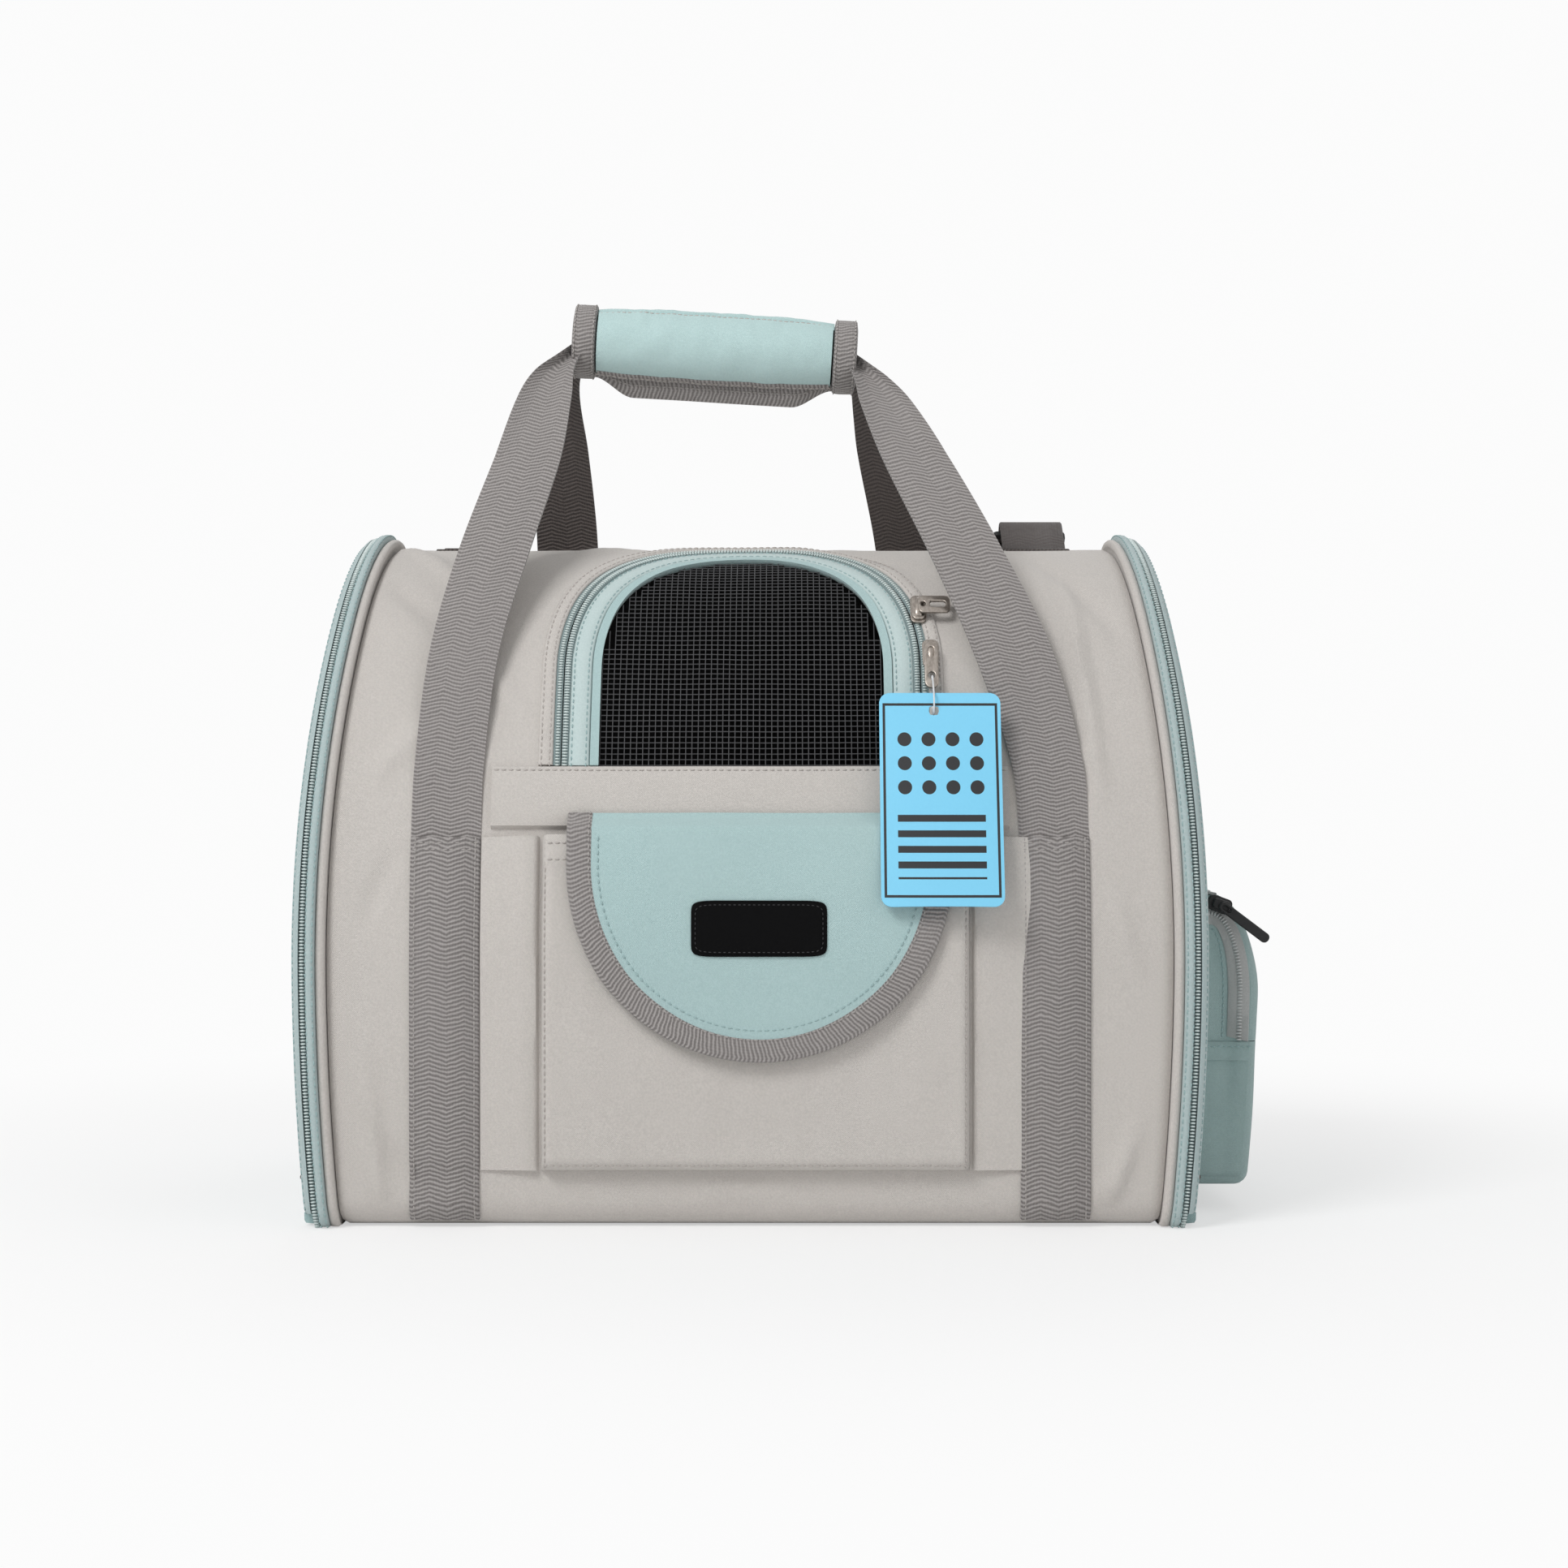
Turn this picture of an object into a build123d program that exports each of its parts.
from build123d import *
import os
from math import atan2, cos, degrees, hypot, pi, radians, sin, sqrt

# Soft-sided pet carrier bag, millimetres. X runs along the bag, -Y is its front, Z is up.
# The origin is the middle of the flat bottom, on the surface that the bag stands on.

# ---- body ----
half_depth = 140.0          # half of the bag's depth at the bottom
spring_height = 115.0       # the walls are upright to here, then they arch over
arch_rise = 205.0           # crown of the barrel above the spring line
top_radius = 105.0          # radius of the crown
corner_radius = 12.0        # rounding of the two long bottom edges
end_half_bottom = 187.0     # half-length of the barrel at the floor
end_half_belly = 193.5      # half-length at its widest
end_half_top = 178.0        # half-length at the crown
belly_height = 117.0
wall = 3.0                  # fabric, foam and lining together
bottom_panel_inset = 15.0   # the base cloth stops this far inside the long edges
fit_gap = 0.3               # clearance between soft pieces on different bodies

# ---- inside ----
board_thickness = 2.5
board_margin = 10.0
mat_thickness = 12.0
mat_margin = 11.0

# ---- end zips and end doors ----
piping_width = 4.5
piping_proud = 5.0
inner_strip_width = 4.0
inner_strip_proud = 7.5
chain_width = 3.2
chain_proud = 5.5
outer_strip_width = 5.2
outer_strip_drop = 20.0
band_steps = 4
band_wall = 6.0
band_lift = 0.4             # each step of the band starts this much higher
door_panel_thickness = 3.0
door_hinge_height = 6.0
door_edging_width = 3.0
door_edging_proud = 1.4
door_mesh_thickness = 1.0
door_mesh_margin = 34.0
door_slider_size = (6.0, 9.0, 16.0)
door_pull_size = (1.6, 6.0, 30.0)
door_slider_height = 29.25

# ---- handle webbing ----
webbing_width = 32.0
webbing_thickness = 1.6
front_webbing_x = 139.5
back_webbing_x = 100.0
sewn_height = 177.0
webbing_foot = 1.0           # the webbing is tucked under the bottom seam here

# ---- window ----
window_tilt = 50.0          # the window faces up and forward at this angle
window_bottom = 210.3
window_half_width = 66.0
window_centre_x = -4.0
window_side = 48.0          # straight part of the window's side
window_rise = 80.0          # half-ellipse above it
window_piping = 4.5
window_strip = 9.6
window_chain = 3.5
window_surround = 6.7
window_thickness = 2.0
slider_size = (7.0, 13.0)
slider_height = 3.0
slider_seat = 1.8
upper_slider = (79.5, 284.0)
lower_slider = (84.5, 262.0)
upper_pull = (15.0, 8.0)
lower_pull = (7.0, 22.0)
pull_thickness = 1.4
tab_drop = 6.0              # the lower pull's eye is this much above its round end's middle
window_corner = 2.0         # rounding of the sliders and of the flat pull
pull_slot_size = (7.5, 2.7)
pull_slot_along = 9.0
window_overrun = 40.0       # the outline runs on below the seam before it is cut off there
window_cut = 60.0           # reach of the outline through the wall
loop_wire = 0.4

# ---- front band, pocket and flap ----
band_bottom = 181.0
band_top = 210.0
band_thickness = 3.0
band_half_length = 119.0
pocket_left = -123.0
pocket_right = 123.0
pocket_bottom = 26.0
pocket_depth = 8.0
pocket_cloth = 1.2
pocket_pleat_left = -95.0
pocket_pleat_right = 100.0
pocket_side_depth = 2.4
flap_centre_x = 4.5
flap_radius = 88.0
flap_side = 23.0
flap_top = 187.0
flap_lead = 8.0
flap_thickness = 2.0
flap_binding_width = 12.0
flap_binding_thickness = 2.8
flap_binding_lap = 2.0
patch_size = (61.5, 24.0)
patch_centre = (4.25, 135.5)
patch_corner = 3.5
patch_thickness = 1.2
grip_tape_size = (24.0, 18.0)
grip_tape_thickness = 0.8
grip_tape_height = 100.0

# ---- free straps ----
strap_lean = 0.24           # slope of the wall where the straps leave it
strap_end_y = 3.7           # distance from the middle plane inside the grip
strap_steps = 8

# ---- carrying grip ----
grip_centre = (-19.3, 0.0, 421.5)
grip_tilt = 3.5
grip_length = 143.0
grip_radius = 14.0
grip_cloth = 3.0
grip_binding = 12.0
grip_slot = (9.0, 23.0)
grip_strap_height = 22.0
grip_tail = 9.0
grip_tail_thickness = 4.0
grip_tail_angle = 270.0      # angles run from the back, over the top, to the front
grip_flap_start = 120.0
grip_flap_end = 255.0

# ---- hang tag ----
tag_size = (56.0, 102.5)
tag_centre_x = 87.2
tag_top_height = 244.0
tag_stand_off = 18.1           # its top edge hangs this far out from the wall
tag_lean = 18.0                # it leans out over the flap
tag_thickness = 0.8
tag_corner = 5.0
tag_hole = 1.7
tag_hole_drop = 8.4
loop_width = 12.0

# ---- side pocket ----
side_pocket_depth = 30.0
side_pocket_half = 90.0
side_pocket_bottom = 12.0
side_pocket_top = 150.0
side_pocket_hem = 80.0
side_shoulder = (23.0, 48.0)   # the rounded shoulder's reach and height
side_pocket_round = 4.0
zip_width = 10.0
zip_thickness = 1.0
side_pocket_wall = 1.6
side_lid_lip = 4.0             # how far the lid wraps round on to the pocket's two side walls
knob_size = (11.0, 5.0, 8.0)
knob_inset = (11.0, 5.0)       # the slider's middle from the door and from the pocket's top
knob_pull = (28.0, 2.0, 4.6)
knob_turn = 37.0               # the pull rests this far below level, along the side wall

# ---- shoulder strap ----
shoulder_x = 142.5
shoulder_bottom = 28.0
shoulder_leg_top = 262.0
shoulder_thickness = 1.4
shoulder_stand_off = 2.0
shoulder_anchor = (14.0, 321.5)    # Y and Z where the strap is sewn to the crown
shoulder_peak = (36.0, 337.0)      # top of the fold that carries the adjuster
adjuster_size = (38.0, 22.0, 3.0)
adjuster_bar = 3.0
adjuster_share = 0.35          # how far down the fold's long run the adjuster sits
shoulder_slack = (4.0, 10.0)   # the fold bows out from a straight line by this Y and Z

# ---- inside tether ----
tether_x = -90.0
tether_width = 15.0
tether_top = 190.0
tether_bottom = 104.0
tether_thickness = 1.5
hook_size = (12.0, 4.0, 40.0)
hook_bar = 3.0

# ---- worked out from the sizes above ----
side_rise = arch_rise - top_radius
side_radius = (half_depth**2 + arch_rise**2 - 2*arch_rise*top_radius)/(2*(half_depth - top_radius))
side_centre = half_depth - side_radius
top_centre = spring_height + side_rise
end_shortest = min(end_half_bottom, end_half_belly, end_half_top)
end_longest = max(end_half_bottom, end_half_belly, end_half_top)
big = 400.0
end_overrun = 40.0          # the end curves run on past the crown and the floor by this much


# ---- building blocks ----
def arch_outline(grow, floor):
    """Cross-section of the barrel moved out by grow, with its flat bottom at floor."""
    half = half_depth + grow
    side = side_radius + grow
    top = top_radius + grow
    reach = hypot(-side_centre, side_rise)
    along = (-side_centre/reach, side_rise/reach)
    lean = atan2(side_rise, -side_centre)
    meet = (side_centre + side*along[0], spring_height + side*along[1])
    middle = (side_centre + side*cos(lean/2), spring_height + side*sin(lean/2))
    crown = (0, top_centre + top)
    corner = max(corner_radius + grow, 1.0)
    bend = corner*(1 - cos(pi/4))
    right = [
        Line((half, floor + corner), (half, spring_height)),
        ThreePointArc((half, spring_height), middle, meet),
    ]
    left = [
        Line((-half, floor + corner), (-half, spring_height)),
        ThreePointArc((-half, spring_height), (-middle[0], middle[1]), (-meet[0], meet[1])),
    ]
    over = ThreePointArc(meet, crown, (-meet[0], meet[1]))
    base = [
        Line((corner - half, floor), (half - corner, floor)),
        ThreePointArc((half - corner, floor), (half - bend, floor + bend), (half, floor + corner)),
        ThreePointArc((corner - half, floor), (bend - half, floor + bend), (-half, floor + corner)),
    ]
    return make_face(right + left + base + [over])


def arch_block(grow, x0, x1, floor=0.0):
    """The arch run along X from x0 to x1."""
    return Pos(x0, 0, 0) * extrude(Plane.YZ * arch_outline(grow, floor), amount=x1 - x0)


def arch_shell(inner, outer, x0, x1, inner_floor=0.0, outer_floor=0.0):
    """A layer that follows the arch, between two distances from the barrel's cloth."""
    return arch_block(outer, x0, x1, outer_floor) - arch_block(inner, x0, x1, inner_floor)


def end_reach(height, grow=0.0):
    """Half-length of the barrel at a height, on the circle through its three measured heights."""
    points = [(end_half_bottom, 0), (end_half_belly, belly_height), (end_half_top, spring_height + arch_rise)]
    (xa, za), (xb, zb), (xc, zc) = points
    cross = 2*(xa*(zb - zc) + xb*(zc - za) + xc*(za - zb))
    square_a, square_b, square_c = [x**2 + z**2 for x, z in points]
    middle_x = (square_a*(zb - zc) + square_b*(zc - za) + square_c*(za - zb))/cross
    middle_z = (square_a*(xc - xb) + square_b*(xa - xc) + square_c*(xb - xa))/cross
    radius = hypot(xb - middle_x, zb - middle_z)
    return middle_x + sqrt(radius**2 - (height - middle_z)**2) + grow


def end_block(grow):
    """Everything between the two curved ends of the barrel, moved out by grow."""
    low = -end_overrun
    high = spring_height + arch_rise + end_overrun
    ends = []
    for side in (-1, 1):
        ends.append(ThreePointArc(*[
            (side*end_reach(height, grow), height) for height in (low, belly_height, high)]))
    cap = []
    for height in (low, high):
        cap.append(Line((-end_reach(height, grow), height), (end_reach(height, grow), height)))
    return extrude(Plane.XZ * make_face(ends + cap), amount=big, both=True)


def end_slab(inner, outer, side):
    """The space between two end curves, on the left (-1) or right (1)."""
    slab = end_block(outer) - end_block(inner)
    keep = Pos(side*big/2, 0, 0) * Box(big, 2*big, 2*big)
    return slab & keep


def front_prism(face, side=-1):
    """A shape in the XZ plane run through the front (-1) or back (1) wall."""
    prism = extrude(Plane.XZ * face, amount=-side*big)
    return prism


def rounded(width, height, radius, x=0.0, z=0.0):
    return Pos(x, z) * RectangleRounded(width, height, radius)


def bar(x0, x1, z0, z1):
    """A rectangle given by its sides."""
    return Pos((x0 + x1)/2, (z0 + z1)/2) * Rectangle(x1 - x0, z1 - z0)


def on_wall(face, inner, outer, side=-1):
    """A flat shape laid on the front or back wall as a layer."""
    return arch_shell(inner, outer, -big/2, big/2) & front_prism(face, side)


def wall_y(height, grow=0.0):
    """Distance from the middle plane to the wall at a height."""
    if height <= spring_height:
        return half_depth + grow
    side = side_radius + grow
    lean = atan2(side_rise, -side_centre)
    if height <= spring_height + side*sin(lean):
        return side_centre + sqrt(side**2 - (height - spring_height)**2)
    return sqrt((top_radius + grow)**2 - (height - top_centre)**2)


def save(part, name):
    part.label = name
    export_step(part, f"parts/{name}.step")


def sector(inner, outer, start, end):
    """Part of a ring between two angles in degrees."""
    corners = []
    for angle in (start, (start + end)/2, end):
        corners.append((cos(radians(angle)), sin(radians(angle))))
    rims = []
    for radius in (inner, outer):
        rims.append(ThreePointArc(*[(radius*c, radius*s) for c, s in corners]))
    sides = []
    for c, s in (corners[0], corners[2]):
        sides.append(Line((inner*c, inner*s), (outer*c, outer*s)))
    return make_face(rims + sides)


def above(solid, height):
    """What is left of a solid above a height."""
    return solid & (Pos(0, 0, height) * Box(2*big, 2*big, big, align=(Align.CENTER, Align.CENTER, Align.MIN)))


def below(solid, height):
    """What is left of a solid below a height."""
    return solid & (Pos(0, 0, height) * Box(2*big, 2*big, big, align=(Align.CENTER, Align.CENTER, Align.MAX)))


os.makedirs("parts", exist_ok=True)


# ---- window outline, drawn on the slanted plane that faces it ----
def window_prism(grow):
    """The window's outline moved out by grow, run through the wall."""
    lean = radians(window_tilt)
    plane = Plane(
        origin=(window_centre_x, -wall_y(window_bottom), window_bottom),
        x_dir=(1, 0, 0), z_dir=(0, -cos(lean), sin(lean)))
    half = window_half_width + grow
    rise = window_rise + grow
    lower = Pos(0, (window_side - window_overrun)/2) * Rectangle(2*half, window_side + window_overrun)
    upper = Pos(0, window_side) * Ellipse(half, rise)
    prism = extrude(plane * (lower + upper), amount=window_cut, both=True)
    return above(prism, window_bottom)


def window_layer(inner_edge, outer_edge, low, high):
    """A ring, or a disc if inner_edge is None, that lies in the wall over a depth range."""
    shape = window_prism(outer_edge)
    if inner_edge is not None:
        shape = shape - window_prism(inner_edge)
    return arch_shell(low, high, -big/2, big/2) & shape


# ---- body of the bag ----
window_edge = window_piping + window_strip + window_chain
fixed_edge = window_edge + fit_gap
board_half = half_depth - wall - board_margin
barrel = arch_shell(-wall, 0, -big/2, big/2, inner_floor=wall) & end_block(0)
base_cloth = Box(
    4*big, 2*(half_depth - bottom_panel_inset), wall, align=(Align.CENTER, Align.CENTER, Align.MIN))
save(barrel - window_prism(fixed_edge) - base_cloth, "barrel_shell")
save(base_cloth & end_block(0), "bottom_panel")

board_shape = Pos(0, 0, wall) * Box(
    2*(end_half_bottom - board_margin), 2*board_half, board_thickness,
    align=(Align.CENTER, Align.CENTER, Align.MIN))
save(board_shape, "base_board")
mat_half_x = end_half_bottom - mat_margin
mat_half_y = half_depth - wall - mat_margin
mat_shape = extrude(RectangleRounded(2*mat_half_x, 2*mat_half_y, 3*corner_radius), amount=mat_thickness)
save(Pos(0, 0, wall + board_thickness + fit_gap) * mat_shape, "floor_mat")

# ---- window ----
save(window_layer(None, 0, -wall/2, 0), "window_mesh")
save(window_layer(0, window_piping, -wall, window_thickness), "window_piping")
save(window_layer(window_piping, window_piping + window_strip, -wall/2, window_thickness/2), "window_strip")
save(window_layer(window_piping + window_strip, window_edge, -wall/2, window_thickness/2), "window_zip_inner")
chain_edge = fixed_edge + window_chain
save(window_layer(fixed_edge, chain_edge, 0, window_thickness/2), "window_zip_outer")
save(window_layer(chain_edge, chain_edge + window_surround, 0, slider_seat - fit_gap), "window_surround")

# ---- sliders and pulls on the window zip ----
pull_seat = slider_seat + slider_height
for name, centre in (("upper", upper_slider), ("lower", lower_slider)):
    x, z = centre
    body = on_wall(rounded(*slider_size, window_corner, x, z), slider_seat - fit_gap, pull_seat)
    save(body, f"window_slider_{name}")
pull_outline = rounded(*upper_pull, window_corner, upper_slider[0] + upper_pull[0]/2, upper_slider[1])
pull_slot = rounded(*pull_slot_size, window_corner/2, upper_slider[0] + pull_slot_along, upper_slider[1])
upper = on_wall(pull_outline - pull_slot, pull_seat + fit_gap, pull_seat + fit_gap + pull_thickness)
save(upper, "window_pull_upper")
lower_x, lower_z = lower_slider
eye_z = lower_z - lower_pull[1] + lower_pull[0]/2 + tab_drop
pull_outline = rounded(*lower_pull, 1.5*window_corner, lower_x, lower_z - lower_pull[1]/2 + lower_pull[0]/2)
pull_hole = Pos(lower_x, eye_z) * Circle(tag_hole)
lower = on_wall(pull_outline - pull_hole, pull_seat + fit_gap, pull_seat + fit_gap + pull_thickness)
save(lower, "window_pull_lower")

# ---- hang tag ----
tag_tilt = radians(tag_lean)
tag_top = (-wall_y(tag_top_height, tag_stand_off), tag_top_height)
tag_plane = Plane(origin=(tag_centre_x, *tag_top), x_dir=(1, 0, 0), z_dir=(0, -cos(tag_tilt), sin(tag_tilt)))
tag_face = rounded(*tag_size, tag_corner, 0, -tag_size[1]/2)
tag_face = tag_face - Pos(lower_x - tag_centre_x, -tag_hole_drop) * Circle(tag_hole)
save(extrude(tag_plane * tag_face, amount=tag_thickness/2, both=True), "hang_tag")
hole_y = tag_top[0] - tag_hole_drop*sin(tag_tilt)
hole_z = tag_top[1] - tag_hole_drop*cos(tag_tilt)
eye_y = -wall_y(eye_z, pull_seat + fit_gap + pull_thickness/2)
loop_length = hypot(eye_y - hole_y, eye_z - hole_z)
loop_lean = degrees(atan2(eye_z - hole_z, eye_y - hole_y))
loop_end = loop_width/2
loop_half = loop_length/2 - loop_end + loop_wire
loop_path = Wire([
    Line((-loop_half, -loop_end), (loop_half, -loop_end)),
    ThreePointArc((loop_half, -loop_end), (loop_half + loop_end, 0), (loop_half, loop_end)),
    Line((loop_half, loop_end), (-loop_half, loop_end)),
    ThreePointArc((-loop_half, loop_end), (-loop_half - loop_end, 0), (-loop_half, -loop_end))])
loop_section = Plane(origin=(0, -loop_end, 0), z_dir=(1, 0, 0)) * Circle(loop_wire)
loop_shape = Rot(0, 0, loop_lean) * sweep(loop_section, path=loop_path)
loop_frame = Plane(origin=(lower_x, (eye_y + hole_y)/2, (eye_z + hole_z)/2), x_dir=(0, 1, 0), z_dir=(1, 0, 0))
save(loop_frame.location * loop_shape, "tag_loop")

# ---- front band, pocket and flap ----
band_face = bar(-band_half_length, band_half_length, band_bottom, band_top)
save(on_wall(band_face, 0, band_thickness), "front_band")
pocket_outer = pocket_depth + pocket_cloth
pocket_body = on_wall(bar(pocket_pleat_left, pocket_pleat_right, pocket_bottom, sewn_height), 0, pocket_outer)
pocket_space = on_wall(
    bar(pocket_pleat_left + pocket_cloth, pocket_pleat_right - pocket_cloth,
        pocket_bottom + 2*pocket_cloth, sewn_height + wall), -wall, pocket_depth)
save(pocket_body - pocket_space, "front_pocket")
left_pleat = bar(pocket_left, pocket_pleat_left, pocket_bottom, sewn_height)
right_pleat = bar(pocket_pleat_right, pocket_right, pocket_bottom, sewn_height)
save(on_wall(left_pleat + right_pleat, 0, pocket_side_depth), "pocket_pleats")

flap_inner = pocket_outer + fit_gap
flap_outer = flap_inner + flap_binding_thickness
flap_rest = flap_top - flap_lead
flap_shift = (flap_binding_thickness - flap_thickness)/2


def flap_outline(inset):
    """The flap's D shape, moved in by inset along its sides and round end."""
    radius = flap_radius - inset
    foot = flap_top - flap_side
    sides = bar(flap_centre_x - radius, flap_centre_x + radius, foot, flap_top)
    disc = Pos(flap_centre_x, foot) * Circle(radius)
    return sides + (disc & bar(-big, big, -big, foot))


def flap_layer(outline, low, high):
    """A flap layer: it lies on the pocket and leads in to the band at its top edge."""
    flat = arch_shell(low, high, -big/2, big/2) & front_prism(outline & bar(-big, big, 0, flap_rest))
    step = flap_inner - band_thickness - fit_gap
    corners = [
        (-wall_y(flap_rest, low), flap_rest), (-wall_y(flap_rest, high), flap_rest),
        (-wall_y(flap_top, high - step), flap_top), (-wall_y(flap_top, low - step), flap_top)]
    lead = extrude(Plane.YZ * make_face(Polyline(*corners, close=True)), amount=big/2, both=True)
    return flat + (lead & front_prism(outline & bar(-big, big, flap_rest, flap_top)))


panel_low = flap_inner + flap_shift
panel_high = panel_low + flap_thickness
flap_panel = flap_layer(flap_outline(flap_binding_lap), panel_low, panel_high)
binding = flap_layer(flap_outline(0) - flap_outline(flap_binding_width), flap_inner, flap_outer)
save(flap_panel, "flap_panel")
save(binding - flap_panel, "flap_binding")
patch_face = rounded(*patch_size, patch_corner, *patch_centre)
save(on_wall(patch_face, panel_high, panel_high + patch_thickness), "flap_patch")
tape_face = rounded(*grip_tape_size, 2.0, flap_centre_x, grip_tape_height)
save(on_wall(tape_face, panel_low - grip_tape_thickness/2, panel_low), "flap_hook_tape")

# ---- handle webbing ----
def pair(centre, bottom, top, width=webbing_width):
    """Two upright strips, one each side of the middle."""
    half = width/2
    return bar(-centre - half, half - centre, bottom, top) + bar(centre - half, centre + half, bottom, top)


save(on_wall(pair(front_webbing_x, webbing_foot, sewn_height), 0, webbing_thickness), "front_webbing")
save(on_wall(pair(back_webbing_x, webbing_foot, sewn_height), 0, webbing_thickness, 1), "back_webbing")

# Free runs of the handle: height, middle X and width at each station, up to the grip.
strap_stations = {
    "front_strap_left": [(177, -139.5, 32), (212, -139, 32), (265, -134.3, 32.5), (312, -123.3, 34),
                         (362, -109.3, 32), (397, -100.5, 25), (405, -99.5, 15), (416, -96.2, 9)],
    "front_strap_right": [(177, 139.5, 32), (212, 137, 33), (265, 122.6, 37), (312, 103, 35.6),
                          (362, 79.5, 32.4), (397, 63.5, 22), (412, 58.2, 9)],
    "back_strap_left": [(177, -100, 32), (250, -99.5, 32), (329, -99.3, 32), (375, -100, 28),
                        (398, -101.5, 19), (416, -96.2, 9)],
    "back_strap_right": [(177, 100, 32), (250, 91, 32), (329, 78.7, 30), (375, 67, 28),
                         (396, 63, 20), (412, 58.2, 9)],
}


def strap_curve(top):
    """Side view of a free strap: distance from the middle plane at each height."""
    start = wall_y(sewn_height, webbing_thickness/2)
    rise = top - sewn_height
    bend = (start - strap_lean*rise - strap_end_y)/rise**2
    curve = []
    for step in range(strap_steps + 1):
        up = rise*step/strap_steps
        curve.append((start - strap_lean*up - bend*up**2, sewn_height + up))
    return curve


def strap_solid(stations, side):
    """A ribbon that follows its front outline and its side curve."""
    left = Spline(*[(x - width/2, z) for z, x, width in stations])
    right = Spline(*[(x + width/2, z) for z, x, width in stations])
    foot = Line(left @ 0, right @ 0)
    head = Line(left @ 1, right @ 1)
    front = extrude(Plane.XZ * make_face([left, right, foot, head]), amount=-side*big)
    half = webbing_thickness/2
    curve = strap_curve(stations[-1][0])
    near = Spline(*[(side*(y - half), z) for y, z in curve])
    far = Spline(*[(side*(y + half), z) for y, z in curve])
    ends = [Line(near @ 0, far @ 0), Line(near @ 1, far @ 1)]
    profile = extrude(Plane.YZ * make_face([near, far] + ends), amount=big/2, both=True)
    return front & profile


for name, stations in strap_stations.items():
    save(strap_solid(stations, -1 if "front" in name else 1), name)

# ---- carrying grip ----
grip_place = Location(grip_centre, (0, grip_tilt, 0))


def along_grip(face, length):
    """A section drawn across the grip, run along it."""
    return grip_place * extrude(Plane.YZ * face, amount=length/2, both=True)


sleeve_radius = grip_radius + grip_cloth
binding_radius = sleeve_radius + grip_cloth/3
clear_length = grip_length - 2*grip_binding
slot_face = Rectangle(*grip_slot)
save(along_grip(Circle(grip_radius) - slot_face, grip_length), "grip_foam")
strip_y = (grip_slot[0] - webbing_thickness)/2
strips = Rectangle(webbing_thickness, grip_strap_height)
save(along_grip(Pos(-strip_y, 0) * strips + Pos(strip_y, 0) * strips, grip_length), "grip_webbing")
flap_lip = degrees(fit_gap/grip_radius)
wrap_face = sector(grip_radius + fit_gap, sleeve_radius, grip_flap_start, grip_flap_end)
save(along_grip(wrap_face, clear_length - 2*fit_gap), "grip_flap")
tail_half = degrees(grip_tail_thickness/2/grip_radius)
sleeve_face = sector(grip_radius, sleeve_radius, grip_tail_angle + tail_half - 360, grip_flap_start - flap_lip)
save(along_grip(sleeve_face, clear_length), "grip_sleeve")
tail_face = Pos(0, -grip_radius - (grip_tail + grip_cloth)/2) * Rectangle(
    grip_tail_thickness, grip_tail + grip_cloth)
save(along_grip(tail_face - Circle(grip_radius), clear_length - 2*grip_cloth), "grip_tail")
ring_face = Circle(binding_radius) - Circle(grip_radius)
ring_gap = grip_length - 2*grip_binding
rings = along_grip(ring_face, grip_length) - along_grip(ring_face, ring_gap)
save(rings, "grip_bindings")

# ---- end zips and end doors ----
chain_start = piping_width + inner_strip_width
chain_end = chain_start + chain_width
door_start = chain_end + fit_gap
door_end = door_start + outer_strip_width
band_inner = outer_strip_drop + band_wall/3
panel_start = door_end - door_panel_thickness
mesh_grow = -(band_inner + door_mesh_margin)
door_bottom = door_hinge_height


def end_ring(inner_grow, outer_grow, start, end, side, lift=0.0):
    """A ring that runs round the arch at one end of the bag, with its foot lifted by lift."""
    x0, x1 = sorted((side*end_shortest/2, side*(end_longest + 2*door_end)))
    ring = arch_shell(inner_grow, outer_grow, x0, x1, -inner_grow, lift)
    return ring & end_slab(start, end, side)


def door_band(side):
    """The outer strip of the end zip, which rounds in to the end panel in steps."""
    width = outer_strip_width/band_steps
    rings = []
    for step in range(band_steps):
        part = (step + 0.5)/band_steps
        outer = chain_proud - outer_strip_drop*(1 - sqrt(1 - part**2))
        start = door_start + step*width
        rings.append(end_ring(-band_inner, outer, start, start + width, side, step*band_lift))
    return rings[0] + rings[1:]


def disc(grow, start, end, side):
    """The arch, moved in, as a plate between two end curves."""
    x0, x1 = sorted((side*end_shortest/2, side*(end_longest + 2*door_end)))
    return arch_block(grow, x0, x1, -grow) & end_slab(start, end, side)


pocket_out = door_end + side_pocket_depth


def side_profile(inset):
    """The side pocket seen along the bag, moved in by inset: an upright face under a round shoulder."""
    reach = end_reach((side_pocket_bottom + side_pocket_top)/2) + pocket_out - inset
    wide, tall = side_shoulder[0] - inset, side_shoulder[1] - inset
    low, high = side_pocket_bottom + inset, side_pocket_top - inset
    shoulder = Pos(reach - wide, high - tall) * Ellipse(wide, tall)
    return bar(0, reach, low, high - tall) + bar(0, reach - wide, low, high) + shoulder


def side_block(start, end, inset):
    """The side pocket's outer shape between two end curves, moved in by inset."""
    low = side_pocket_bottom + inset
    high = side_pocket_top - inset
    reach = end_reach((side_pocket_bottom + side_pocket_top)/2) + pocket_out
    half = side_pocket_half - inset
    plan_face = RectangleRounded(2*(reach - inset), 2*half, side_pocket_round - inset)
    plan = Pos(0, 0, low) * extrude(plan_face, amount=high - low)
    profile = extrude(Plane.XZ * side_profile(inset), amount=big/2, both=True)
    return end_slab(start, end, 1) & plan & profile


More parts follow.
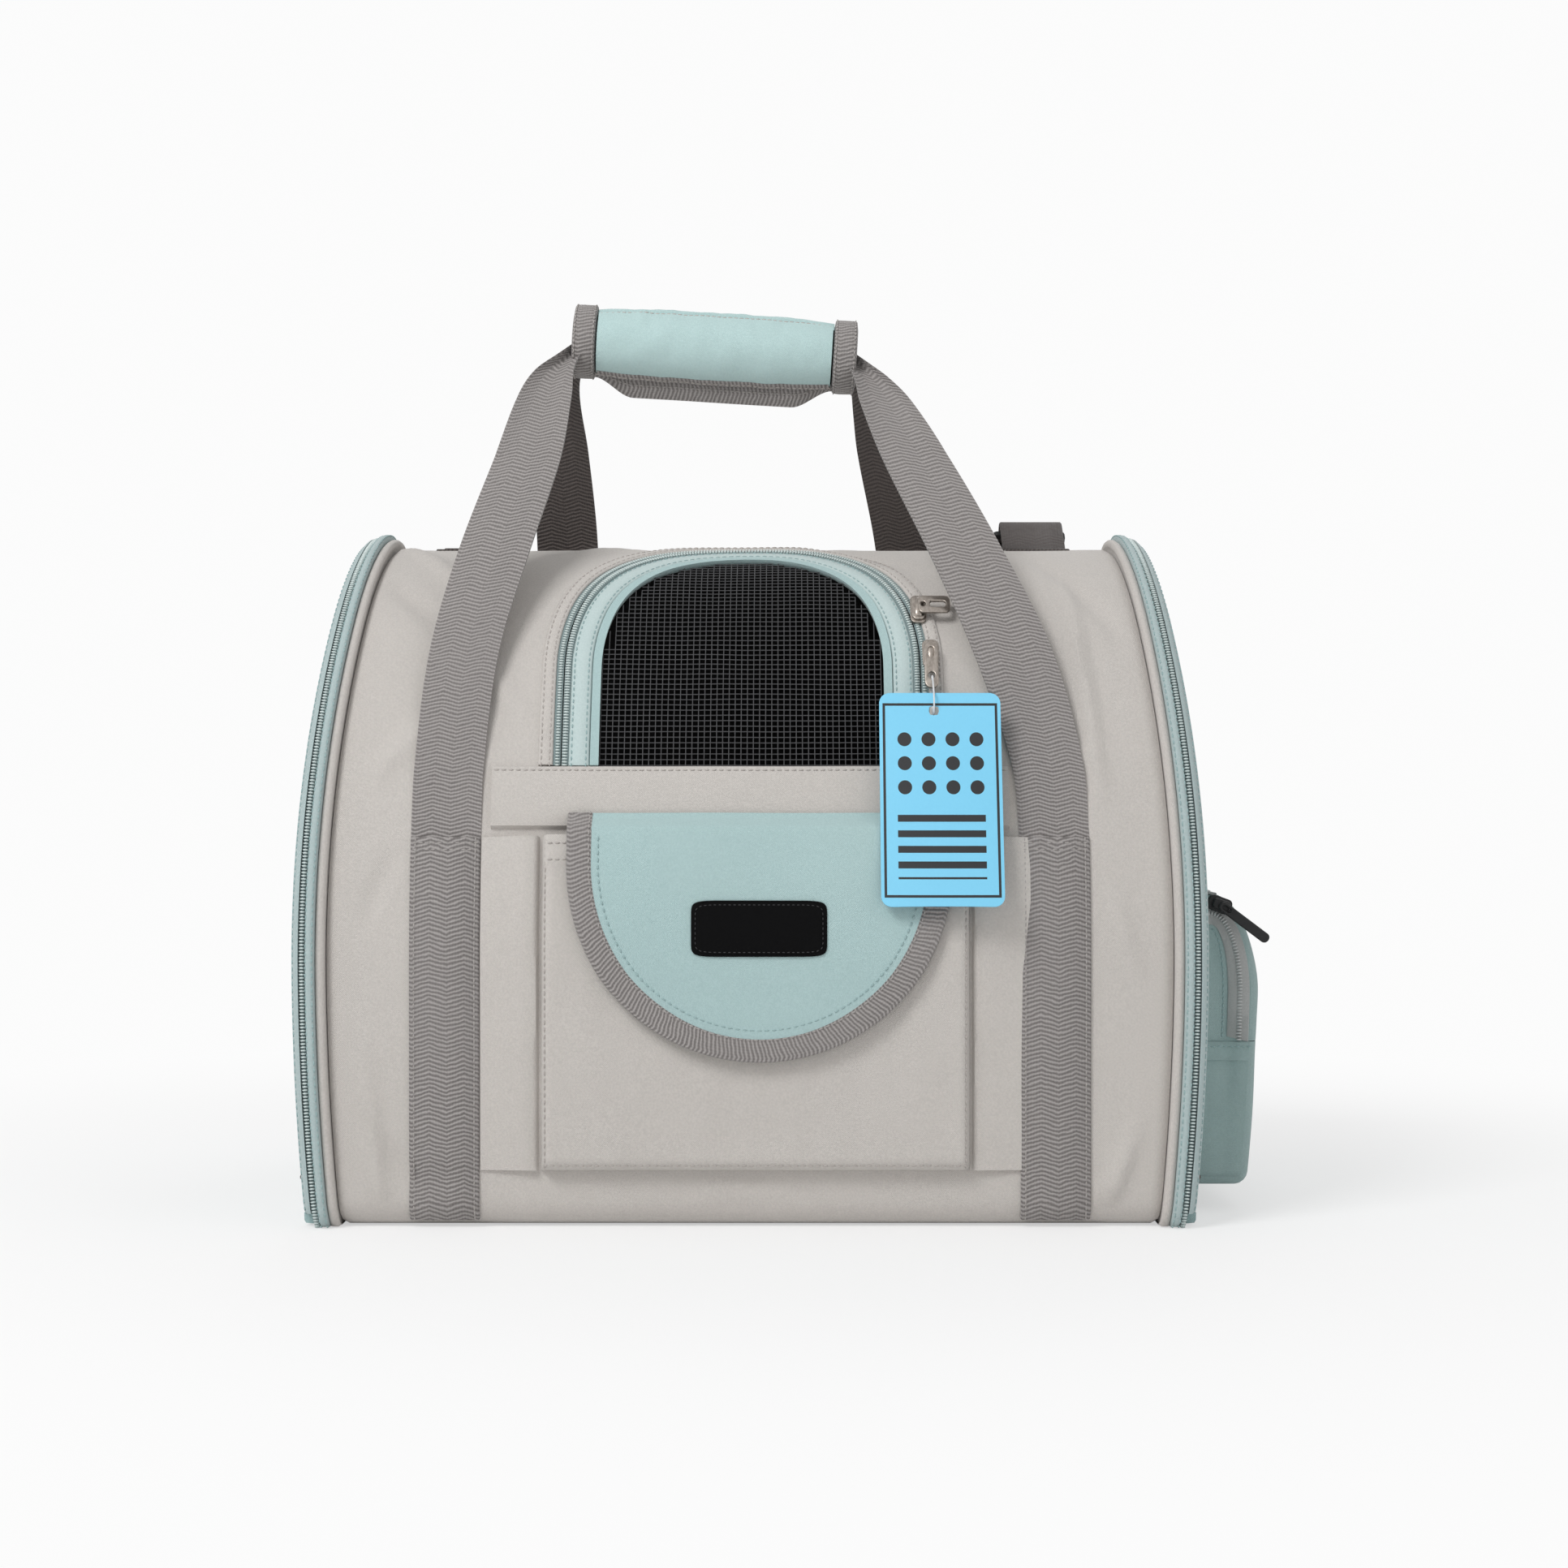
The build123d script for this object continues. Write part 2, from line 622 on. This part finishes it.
pipings = []
strips_in = []
sills = []
for name, side in (("left", -1), ("right", 1)):
    pipings.append(end_ring(-wall, piping_proud, 0, piping_width, side))
    strips_in.append(end_ring(-wall, inner_strip_proud, piping_width, chain_start, side))
    save(end_ring(-wall, chain_proud, chain_start, chain_end, side), f"{name}_zip_chain")
    band = door_band(side)
    save(above(band, door_bottom), f"{name}_door_band")
    sills.append(below(band, door_bottom - fit_gap))
    edging_foot = band_inner - door_edging_width
    edging = end_ring(-band_inner, -edging_foot, door_end, door_end + door_edging_proud, side, edging_foot)
    if side > 0:
        edging = edging - side_block(door_end - wall, pocket_out, 0)
    save(edging, f"{name}_door_edging")
    panel = disc(-band_inner, panel_start, door_end, side)
    if side < 0:
        panel = panel - disc(mesh_grow, panel_start - wall, door_end + wall, side)
        mesh_start = (panel_start + door_end - door_mesh_thickness)/2
        save(disc(mesh_grow, mesh_start, mesh_start + door_mesh_thickness, side), f"{name}_door_mesh")
    save(panel, f"{name}_door_panel")
    slider_w, slider_h, slider_l = door_slider_size
    pull_t, pull_w, pull_l = door_pull_size
    slider_x = side*(end_half_belly + chain_end + slider_w/3)
    slider_y = half_depth + chain_proud + slider_w/2 + fit_gap
    slider_z = door_slider_height
    pull_y = slider_y + (slider_w + pull_t)/2
    pull_z = slider_z + slider_l/3 - pull_l/2 + pull_w/2
    slider = Pos(slider_x, slider_y, slider_z) * Box(slider_h, slider_w, slider_l)
    save(slider + Pos(slider_x, pull_y, pull_z) * Box(pull_w, pull_t, pull_l), f"{name}_door_slider")

save(pipings[0] + pipings[1], "end_pipings")
save(strips_in[0] + strips_in[1], "end_zip_strips")
save(sills[0] + sills[1], "door_sills")

# ---- side pocket on the right end door ----
pocket_case = side_block(door_end, pocket_out, 0) - side_block(
    door_end - wall, pocket_out - side_pocket_wall, side_pocket_wall)


def zip_core(inset, strip):
    """What the pocket's zip goes round: the profile moved in, and a strip along the door."""
    core = extrude(Plane.XZ * side_profile(inset), amount=big/2, both=True)
    if strip:
        core = core + end_slab(door_end - wall, door_end + strip, 1)
    return core


lid_edge = side_lid_lip + fit_gap
lid_strip = zip_width + 2*fit_gap
lid = above(pocket_case, side_pocket_hem) - zip_core(side_lid_lip, lid_strip + fit_gap)
lid_space = above(pocket_case, side_pocket_hem - fit_gap) - zip_core(lid_edge, lid_strip)
save(pocket_case - lid_space, "side_pocket_case")
save(lid, "side_pocket_lid")
zip_face = side_block(door_end, pocket_out + zip_thickness, -zip_thickness) - side_block(
    door_end - wall, pocket_out, 0)
zip_ring = (zip_face & zip_core(lid_edge + fit_gap, zip_width)) - zip_core(side_lid_lip + zip_width, 0)
save(above(zip_ring, side_pocket_hem), "side_pocket_zip")

# ---- slider and pull on the side pocket's zip, at the front end of its top run ----
knob_x = end_reach(side_pocket_top) + door_end + knob_inset[0]
knob_y = side_pocket_half + zip_thickness + knob_size[1]/2 + fit_gap/3
knob_z = side_pocket_top - knob_inset[1]
save(Pos(knob_x, -knob_y, knob_z) * Box(*knob_size), "side_pocket_slider")
pull_start = Pos(knob_x, -knob_y - knob_size[1]/2 - fit_gap - knob_pull[1]/2, knob_z)
pull_bar = Box(*knob_pull, align=(Align.MIN, Align.CENTER, Align.CENTER))
save(pull_start * Rot(0, knob_turn, 0) * pull_bar, "side_pocket_pull")

# ---- shoulder strap ----
strap_low = shoulder_stand_off
strap_high = strap_low + shoulder_thickness
legs = on_wall(pair(shoulder_x, shoulder_bottom, shoulder_leg_top), strap_low, strap_high, 1)
run_half = shoulder_x + webbing_width/2
run_face = bar(-run_half, run_half, shoulder_bottom, shoulder_bottom + webbing_width)
cross_run = on_wall(run_face, strap_high, strap_high + shoulder_thickness, 1)
leg_end = (wall_y(shoulder_leg_top, strap_low + shoulder_thickness/2), shoulder_leg_top)
half_way = (
    (shoulder_peak[0] + leg_end[0])/2 + shoulder_slack[0],
    (shoulder_peak[1] + leg_end[1])/2 + shoulder_slack[1])


def ribbon(points, thickness):
    """Side view of a strip of webbing with rounded bends, given its points as Y and Z."""
    face = Sketch()
    for start, end in zip(points[:-1], points[1:]):
        run = hypot(end[0] - start[0], end[1] - start[1])
        turn = degrees(atan2(end[1] - start[1], end[0] - start[0]))
        face += Pos(*start) * Rot(0, 0, turn) * Pos(run/2, 0) * Rectangle(run, thickness)
        face += Pos(*end) * Circle(thickness/2)
    return face


fold = ribbon([shoulder_anchor, shoulder_peak, half_way, leg_end], shoulder_thickness)
right_top = Pos(shoulder_x, 0, 0) * extrude(Plane.YZ * fold, amount=webbing_width/2, both=True)
left_top = arch_shell(strap_low, strap_high, -shoulder_x - webbing_width/2, webbing_width/2 - shoulder_x)
left_top = left_top & (Pos(-shoulder_x, shoulder_anchor[0], shoulder_leg_top) * Box(
    2*webbing_width, big, big, align=(Align.CENTER, Align.MIN, Align.MIN)))
save(legs + cross_run + right_top + left_top, "shoulder_strap")
anchor_layer = arch_shell(0, strap_low - fit_gap, -big/2, big/2)
anchor_feet = extrude(pair(shoulder_x, -shoulder_anchor[0], shoulder_anchor[0]), amount=big)
save(anchor_layer & anchor_feet, "shoulder_anchors")

frame_long, frame_wide, frame_thick = adjuster_size
adjuster_window = Rectangle(webbing_width + 2*fit_gap, (frame_wide - 3*adjuster_bar)/2)
window_step = (frame_wide - adjuster_bar)/4
frame_face = RectangleRounded(frame_long, frame_wide, adjuster_bar/2)
frame_face = frame_face - Pos(0, window_step) * adjuster_window - Pos(0, -window_step) * adjuster_window
run_y = half_way[0] - shoulder_peak[0]
run_z = half_way[1] - shoulder_peak[1]
run_length = hypot(run_y, run_z)
frame_drop = (shoulder_thickness + frame_thick)/2 + fit_gap/3
frame_along = adjuster_share*run_length
frame_plane = Plane(
    origin=(shoulder_x,
            shoulder_peak[0] + (frame_along*run_y + frame_drop*run_z)/run_length,
            shoulder_peak[1] + (frame_along*run_z - frame_drop*run_y)/run_length),
    x_dir=(1, 0, 0), z_dir=(0, -run_z/run_length, run_y/run_length))
save(extrude(frame_plane * frame_face, amount=frame_thick/2, both=True), "strap_adjuster")

# ---- tether inside the cabin, on the back wall ----
tether_face = bar(tether_x - tether_width/2, tether_x + tether_width/2, tether_bottom, tether_top)
save(on_wall(tether_face, -wall - tether_thickness, -wall, 1), "tether_strap")
hook_wide, hook_thick, hook_long = hook_size
hook_y = half_depth - wall - hook_thick/2 - fit_gap
hook_face = rounded(hook_wide, hook_long, hook_bar) - rounded(
    hook_wide - 2*hook_bar, hook_long - 2*hook_bar, hook_bar - 1.0)
hook_place = Pos(tether_x, hook_y, tether_bottom - fit_gap - hook_long/2)
save(hook_place * extrude(Plane.XZ * hook_face, amount=hook_thick/2, both=True), "snap_hook")
